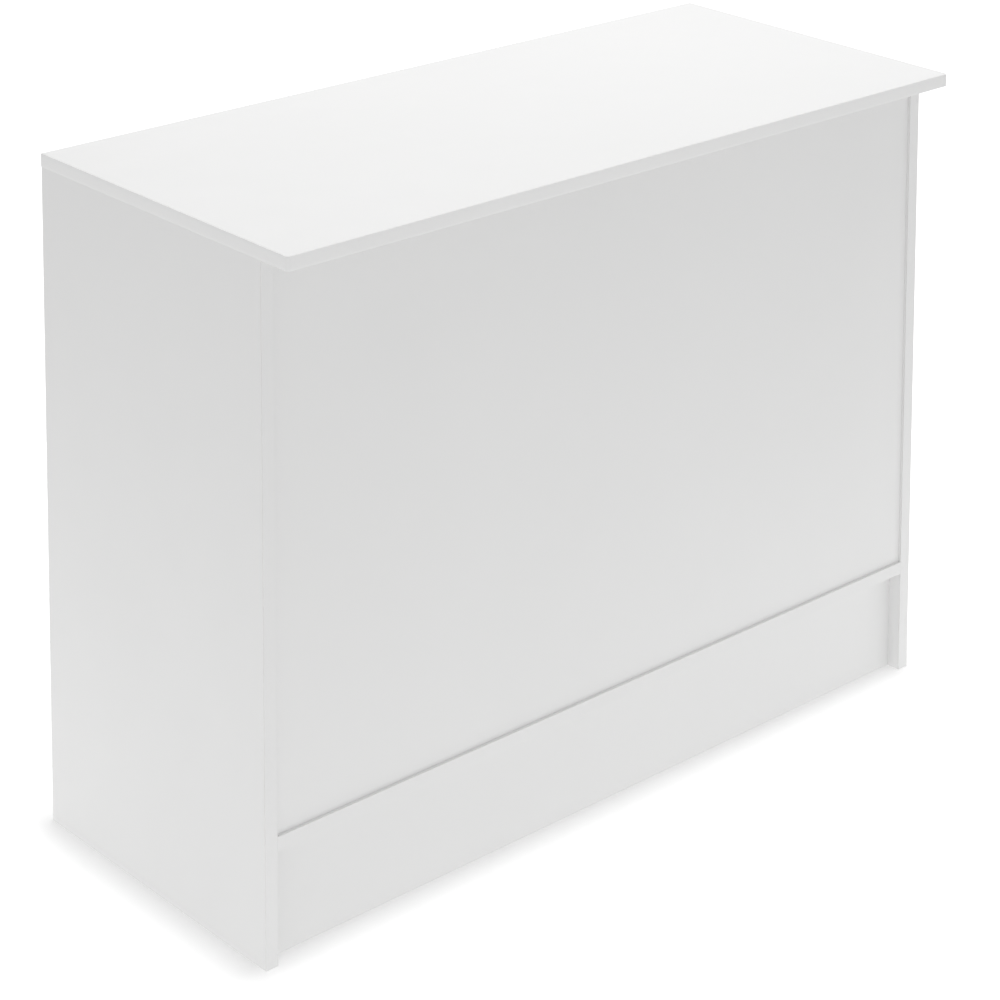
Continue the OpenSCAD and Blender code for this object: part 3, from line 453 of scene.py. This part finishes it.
def wood_screw_mesh(length, radius, head_radius):
    """A countersunk wood screw along +Z from its head's face, with a gimlet point."""
    pitch = radius * 1.1
    head_l = head_radius - radius
    point_l = radius * 3
    start = head_l + radius
    step = pitch / 8
    rows = [0, head_l * 0.15, head_l, start]
    rows += list(np.arange(start + step, length, step)) + [length]

    head = [(0, head_radius * 0.97), (head_l * 0.15, head_radius), (head_l, radius * 0.8)]

    def radius_at(z, angle):
        if z <= start:
            return outline_radius(head, z)
        taper = min(1.0, max(0.06, (length - z) / point_l))
        core = radius * 0.66
        return taper * (core + (radius - core) * thread_height(z, angle, pitch, 0.12))

    body = turned_mesh("wood_screw", rows, radius_at, 20)
    cross = cross_outline(head_radius * 0.56, head_radius * 0.1)
    recess = prism_mesh("recess", cross, -0.2, head_radius * 0.6, 0.35)
    return cut(body, recess)


def cam_bolt_mesh():
    """A cam bolt along +Z from its head, with a coarse thread at its far end."""
    ball = [(0, 2.7), (0.5, 3.35), (2.0, 3.4)]
    neck = [(3.6, 2.1), (9.4, 2.0)]
    shank = [(9.8, 3.3), (34.9, 3.3), (35.2, 2.3)]
    outline = ball + neck + shank
    thread = (35.2, 46.2)
    pitch = 2.0
    crest_r, root_r = 2.95, 2.2
    step = pitch / 8
    rows = [p[0] for p in outline] + list(np.arange(thread[0] + step, thread[1], step)) + [thread[1]]

    def radius_at(z, angle):
        if z <= thread[0]:
            return outline_radius(outline, z)
        lead_in = min(1.0, 0.75 + (thread[1] - z) / 4)
        return lead_in * (root_r + (crest_r - root_r) * thread_height(z, angle, pitch, 0.15))

    return turned_mesh("cam_bolt", rows, radius_at, 24)


def dowel_mesh(length, radius):
    """A fluted dowel along +Z with chamfered ends."""
    chamfer = 1.2
    flutes = 16
    rows = [0, chamfer, length / 2, length - chamfer, length]

    def radius_at(z, angle):
        end = min(z, length - z)
        plain = radius - max(0.0, chamfer - end)
        return plain - 0.28 * max(0.0, math.cos(flutes * angle)) ** 3 * min(1.0, end / chamfer)

    return turned_mesh("dowel", rows, radius_at, flutes * 6)


def leveler_stem_mesh(height, thread_r):
    """An M8 leveler stem along +Z: a ball end for the pad, a hexagonal collar, a thread and a socket."""
    pitch = 1.25
    collar = (5.5, 10.5)
    collar_r = 7.5
    collar_chamfer = 0.7
    start = 12.0
    step = pitch / 8
    depth = 0.61 * pitch
    plain = [(0, 2.6), (0.6, 3.35), (6, 3.4), (start, 3.4)]
    rows = [p[0] for p in plain] + list(np.arange(start + step, height - 0.05, step)) + [height]

    def radius_at(z, angle):
        if z <= start:
            return outline_radius(plain, z)
        lead_in = min(1.0, 0.86 + (height - z) / 6)
        return lead_in * (thread_r - depth + depth * thread_height(z, angle, pitch, 0.12))

    def collar_radius_at(z, angle):
        return collar_r - max(0, collar_chamfer - min(z - collar[0], collar[1] - z))

    collar_rows = [collar[0], collar[0] + collar_chamfer, collar[1] - collar_chamfer, collar[1]]
    nut = turned_mesh("collar_round", collar_rows, collar_radius_at, 48)
    nut = cut(nut, prism_mesh("collar", hexagon(7.45), collar[0] - 1, collar[1] + 1), "INTERSECT")
    rod = cut(turned_mesh("rod", rows, radius_at, 24), nut, "UNION")
    return cut(rod, prism_mesh("socket", hexagon(2.3), height - 5, height + 1))


def solids_of(node):
    """The corner points of each separate solid in a CAD node, as one array a solid."""
    grid = bmesh.new()
    grid.from_mesh(nodes[node].data)
    bmesh.ops.remove_doubles(grid, verts=grid.verts, dist=0.002 * MM)
    seen = set()
    solids = []
    for first in grid.verts:
        if first in seen:
            continue
        seen.add(first)
        waiting = [first]
        points = []
        while waiting:
            vert = waiting.pop()
            points.append(vert.co.copy())
            for edge in vert.link_edges:
                other = edge.other_vert(vert)
                if other not in seen:
                    seen.add(other)
                    waiting.append(other)
        solids.append(np.array(points))
    grid.free()
    return solids


class Pin:
    """Where a long round solid stands: its axis, its length and the radius at its wider end, its head."""

    def __init__(self, points):
        low, high = points.min(0), points.max(0)
        centre = (low + high) / 2
        self.axis = int(np.argmax(high - low))
        self.length = float((high - low)[self.axis])
        away = np.delete(points - centre, self.axis, 1)
        radii = np.hypot(away[:, 0], away[:, 1])
        along = points[:, self.axis] - low[self.axis]
        near = radii[along < self.length * 0.02].max()
        far = radii[along > self.length * 0.98].max()
        sign = 1 if near >= far else -1
        self.head_radius = float(radii.max())
        from_head = along if sign > 0 else self.length - along
        shank = (from_head > self.length * 0.45) & (from_head < self.length * 0.99)
        self.radius = float(radii[shank].max()) if shank.any() else self.head_radius
        self.along = Vector([float(sign) if i == self.axis else 0.0 for i in range(3)])
        start = centre.copy()
        start[self.axis] = low[self.axis] if sign > 0 else high[self.axis]
        self.start = Vector(start)

    def matrix(self):
        """Takes a mesh in mm along +Z from its head to this place."""
        turn = self.along.to_track_quat("Z", "Y").to_matrix().to_4x4()
        return Matrix.Translation(self.start) @ turn @ Matrix.Scale(MM, 4)


def shade_by_angle(mesh):
    grid = bmesh.new()
    grid.from_mesh(mesh)
    for face in grid.faces:
        face.smooth = True
    for edge in grid.edges:
        edge.smooth = edge.calc_face_angle(math.pi) < SHARP * 1.3
    grid.to_mesh(mesh)
    grid.free()


def stand_in_for(node, name, template, pins, materials):
    """Puts a copy of the template at each pin, as one piece in place of the CAD node."""
    mesh = bpy.data.meshes.new(name)
    grid = bmesh.new()
    for pin in pins:
        count = len(grid.faces)
        copy = template.copy()
        copy.transform(pin.matrix())
        grid.from_mesh(copy)
        grid.faces.ensure_lookup_table()
        for face in grid.faces[count:]:
            face.material_index = pin.axis if len(materials) > 1 else 0
        bpy.data.meshes.remove(copy)
    grid.to_mesh(mesh)
    grid.free()
    shade_by_angle(mesh)
    for material in materials:
        mesh.materials.append(material)
    piece = bpy.data.objects.new(name, mesh)
    bpy.context.scene.collection.objects.link(piece)
    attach(piece, nodes[node]["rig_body"])
    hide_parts(node)


def make_screws(material):
    for node in ("top_screws", "divider_screws", "hardware_screws", "drawer_screws", "drawer_runner_screws"):
        pins = [Pin(points) for points in solids_of(node)]
        size = [value / MM for value in (pins[0].length, pins[0].radius, pins[0].head_radius)]
        stand_in_for(node, node + "_threaded", wood_screw_mesh(*size), pins, [material])


def make_cam_bolts(material):
    pins = [Pin(points) for points in solids_of("cam_bolts")]
    stand_in_for("cam_bolts", "cam_bolts_threaded", cam_bolt_mesh(), pins, [material])


def make_dowels(materials):
    for node in ("wood_dowels", "drawer_dowels"):
        pins = [Pin(points) for points in solids_of(node)]
        template = dowel_mesh(pins[0].length / MM, pins[0].radius / MM)
        stand_in_for(node, node + "_fluted", template, pins, materials)


def make_leveler_stems(material):
    for index in range(1, 5):
        node = f"leveler_stem_{index}"
        pin = Pin(solids_of(node)[0])
        low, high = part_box(node)
        pin.along = Vector((0, 0, 1))
        pin.start = Vector(((low.x + high.x) / 2, (low.y + high.y) / 2, low.z))
        stand_in_for(node, node + "_threaded", leveler_stem_mesh(pin.length / MM, 4.0), [pin], [material])


# ---------------------------------------------------------------- finishes on the CAD pieces
CORE = {"white_melamine": CHIPBOARD_CORE, "white_hardboard": HARDBOARD_CORE}
# Boards whose edges are wrapped in film as well, along these axes
WRAPPED = {
    "front_top_rail": "y", "rear_top_rail": "y", "drawer_left_side": "z", "drawer_right_side": "z",
    "drawer_back": "z",
}
boards = {}


def board_material(node):
    """The laminated board for a node, shared by every board that lies the same way."""
    low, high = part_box(node)
    size = high - low
    thickness_axis = min(range(3), key=lambda i: size[i])
    nodes[node]["board_size"] = [side / MM for side in size]
    wrapped = [AXES.index(letter) for letter in WRAPPED.get(node, "")]
    key = "_".join([slot_of[node], AXES[thickness_axis], *WRAPPED.get(node, "")])
    if key not in boards:
        boards[key] = laminated_board(key, thickness_axis, wrapped, CORE[slot_of[node]])
    return boards[key]


def dress(node, material):
    mesh_slots = nodes[node].material_slots
    for material_slot in mesh_slots:
        material_slot.material = material


def dress_all():
    plate = zinc_plating()
    dowel_woods = [beech(axis) for axis in range(3)]
    finishes = {
        "white_edge_band": pvc_band("pvc_band", BAND), "white_plastic": moulded_plastic(), "nylon": nylon(),
        "white_powder_coat": powder_coat(), "zinc_die_cast": zinc_casting(), "zinc_plated_steel": plate,
        "nickel": satin_nickel(), "black_rubber": moulded_rubber(),
    }
    make_screws(plate)
    make_cam_bolts(plate)
    make_dowels(dowel_woods)
    make_leveler_stems(plate)
    moulding = pvc_band("pvc_moulding", MOULDING)
    shading = shading_by_angle()
    for node, piece in nodes.items():
        if piece.hide_render:
            continue
        slot = slot_of[node]
        finish = board_material(node) if slot in CORE else finishes[slot]
        dress(node, moulding if node == "countertop_t_moulding" else finish)
        ease_edges(piece, EDGE_ROUND[slot], shading)


# ---------------------------------------------------------------- studio
FLOOR_HALF = 40.0
FLOOR_WHITE = 0.90
SKY_SIDE = 0.56          # how brightly the room lights the object, from level and from straight up
SKY_TOP = 0.72
SKY_MIRRORED = 0.95      # how bright the room looks in a reflection
POOL = (0.4, 3.5)        # the floor's painted pool of light, an emission glow, is even this far from the base, and gone this far away
PAINTED_POOL_GLOW = 0.44         # how much that painted glow adds to the light off the floor, lighting the counter from below
CONTACT = (0.0, 0.08)    # the counter's own shadow, deepened by painted shadow, starts and ends this far from its base
CONTACT_LIFT = (0.12, 0.58)   # how much brighter the camera sees the floor inside that shadow and past it; the weaker glow near the base is painted shadow
FAR_LIFT = 0.30          # how much is added where the painted pool of light has ended
# Soft square lights: where each stands, its side in metres and its power in watts
LIGHTS = {
    "overhead": {"at": (0.9, 0.7, 3.0), "size": 3.2, "power": 34},
    "left": {"at": (-3.6, 0.6, 2.2), "size": 2.2, "power": 3},
    "front": {"at": (-1.0, -3.3, 2.5), "size": 2.6, "power": 4},
}


def mix_by_ray(tree, kind, chosen, others):
    """One surface for a kind of ray, such as "Is Camera Ray", and another for all the others."""
    path = tree.nodes.new("ShaderNodeLightPath")
    mix = tree.nodes.new("ShaderNodeMixShader")
    tree.links.new(path.outputs[kind], mix.inputs[0])
    tree.links.new(others, mix.inputs[1])
    tree.links.new(chosen, mix.inputs[2])
    return mix.outputs[0]


def make_room():
    """A white backdrop to the eye, and a soft light that comes more from above than from the sides."""
    world = bpy.data.worlds.new("white_room")
    bpy.context.scene.world = world
    world.use_nodes = True
    tree = world.node_tree
    seen = tree.nodes["Background"]
    seen.inputs["Color"].default_value = (1, 1, 1, 1)
    mirrored = tree.nodes.new("ShaderNodeBackground")
    mirrored.inputs["Strength"].default_value = SKY_MIRRORED
    unseen = tree.nodes.new("ShaderNodeBackground")
    for background in (mirrored, unseen):
        background.inputs["Color"].default_value = (1, 1, 1, 1)
    direction = tree.nodes.new("ShaderNodeTexCoord")
    split = tree.nodes.new("ShaderNodeSeparateXYZ")
    height = tree.nodes.new("ShaderNodeMapRange")
    tree.links.new(direction.outputs["Generated"], split.inputs[0])
    tree.links.new(split.outputs[2], height.inputs[0])
    height.inputs[3].default_value = SKY_SIDE
    height.inputs[4].default_value = SKY_TOP
    tree.links.new(height.outputs[0], unseen.inputs["Strength"])
    light = mix_by_ray(tree, "Is Glossy Ray", mirrored.outputs[0], unseen.outputs[0])
    surface = mix_by_ray(tree, "Is Camera Ray", seen.outputs[0], light)
    tree.links.new(surface, tree.nodes["World Output"].inputs["Surface"])


def distance_from_base(shader):
    """Distance in metres on the floor from the cabinet's base, leaving out the top's overhang."""
    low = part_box("left_end_panel")[0].copy()
    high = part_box("right_end_panel")[1].copy()
    low.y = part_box("front_kick_panel")[0].y
    low.z = high.z = 0
    middle = (low + high) / 2
    from_middle = shader.add("VectorMath", {0: shader.place, 1: middle}, operation="SUBTRACT").outputs[0]
    outwards = shader.add("VectorMath", {0: from_middle}, operation="ABSOLUTE").outputs[0]
    past = shader.add("VectorMath", {0: outwards, 1: (high - low) / 2}, operation="SUBTRACT").outputs[0]
    past = shader.add("VectorMath", {0: past, 1: (0, 0, 0)}, operation="MAXIMUM").outputs[0]
    return shader.add("VectorMath", {0: past}, operation="LENGTH").outputs["Value"]


def make_floor():
    mesh = bpy.data.meshes.new("floor")
    corners = [(-FLOOR_HALF, -FLOOR_HALF, 0), (FLOOR_HALF, -FLOOR_HALF, 0),
               (FLOOR_HALF, FLOOR_HALF, 0), (-FLOOR_HALF, FLOOR_HALF, 0)]
    mesh.from_pydata(corners, [], [(0, 1, 2, 3)])
    floor = bpy.data.objects.new("floor", mesh)
    bpy.context.scene.collection.objects.link(floor)
    shader = Shader("pale_floor")
    cloud = shader.noise(900, detail=2)
    shader.finish(shader.tint((FLOOR_WHITE,) * 3, cloud, 0.004), 0.8, shader.relief(shader.noise(3), 0.01))
    shader.feed(shader.surface.inputs["Specular IOR Level"], 0.1)
    away = distance_from_base(shader)
    # Painted shadow: the camera-seen glow is weaker near the base, so the floor looks darker there
    contact = shader.between(away, *CONTACT, *CONTACT_LIFT)
    lift = shader.math("ADD", contact, shader.between(away, *POOL, 0.0, FAR_LIFT))
    brightened = []
    # Painted light: camera rays see the floor lifted by the first glow, and all other rays see the second, a
    # painted pool of light near the base
    for strength in (lift, shader.between(away, *POOL, PAINTED_POOL_GLOW, 0.0)):
        glow = shader.add("Emission", {"Strength": strength})
        both = shader.add("AddShader", {0: shader.surface.outputs[0], 1: glow.outputs[0]})
        brightened.append(both.outputs[0])
    surface = mix_by_ray(shader.tree, "Is Camera Ray", *brightened)
    shader.tree.links.new(surface, shader.tree.nodes["Material Output"].inputs["Surface"])
    mesh.materials.append(shader.material)


def make_light(name, at, size, power, aim=(0, 0, 0.5)):
    data = bpy.data.lights.new(name, "AREA")
    data.size = size
    data.energy = power
    light = bpy.data.objects.new(name, data)
    bpy.context.scene.collection.objects.link(light)
    light.location = at
    light.rotation_euler = (Vector(at) - Vector(aim)).to_track_quat("Z", "Y").to_euler()


make_camera()
dress_all()
make_room()
make_floor()
for light_name, light in LIGHTS.items():
    make_light(light_name, **light)
bpy.context.scene.view_settings.view_transform = "Standard"
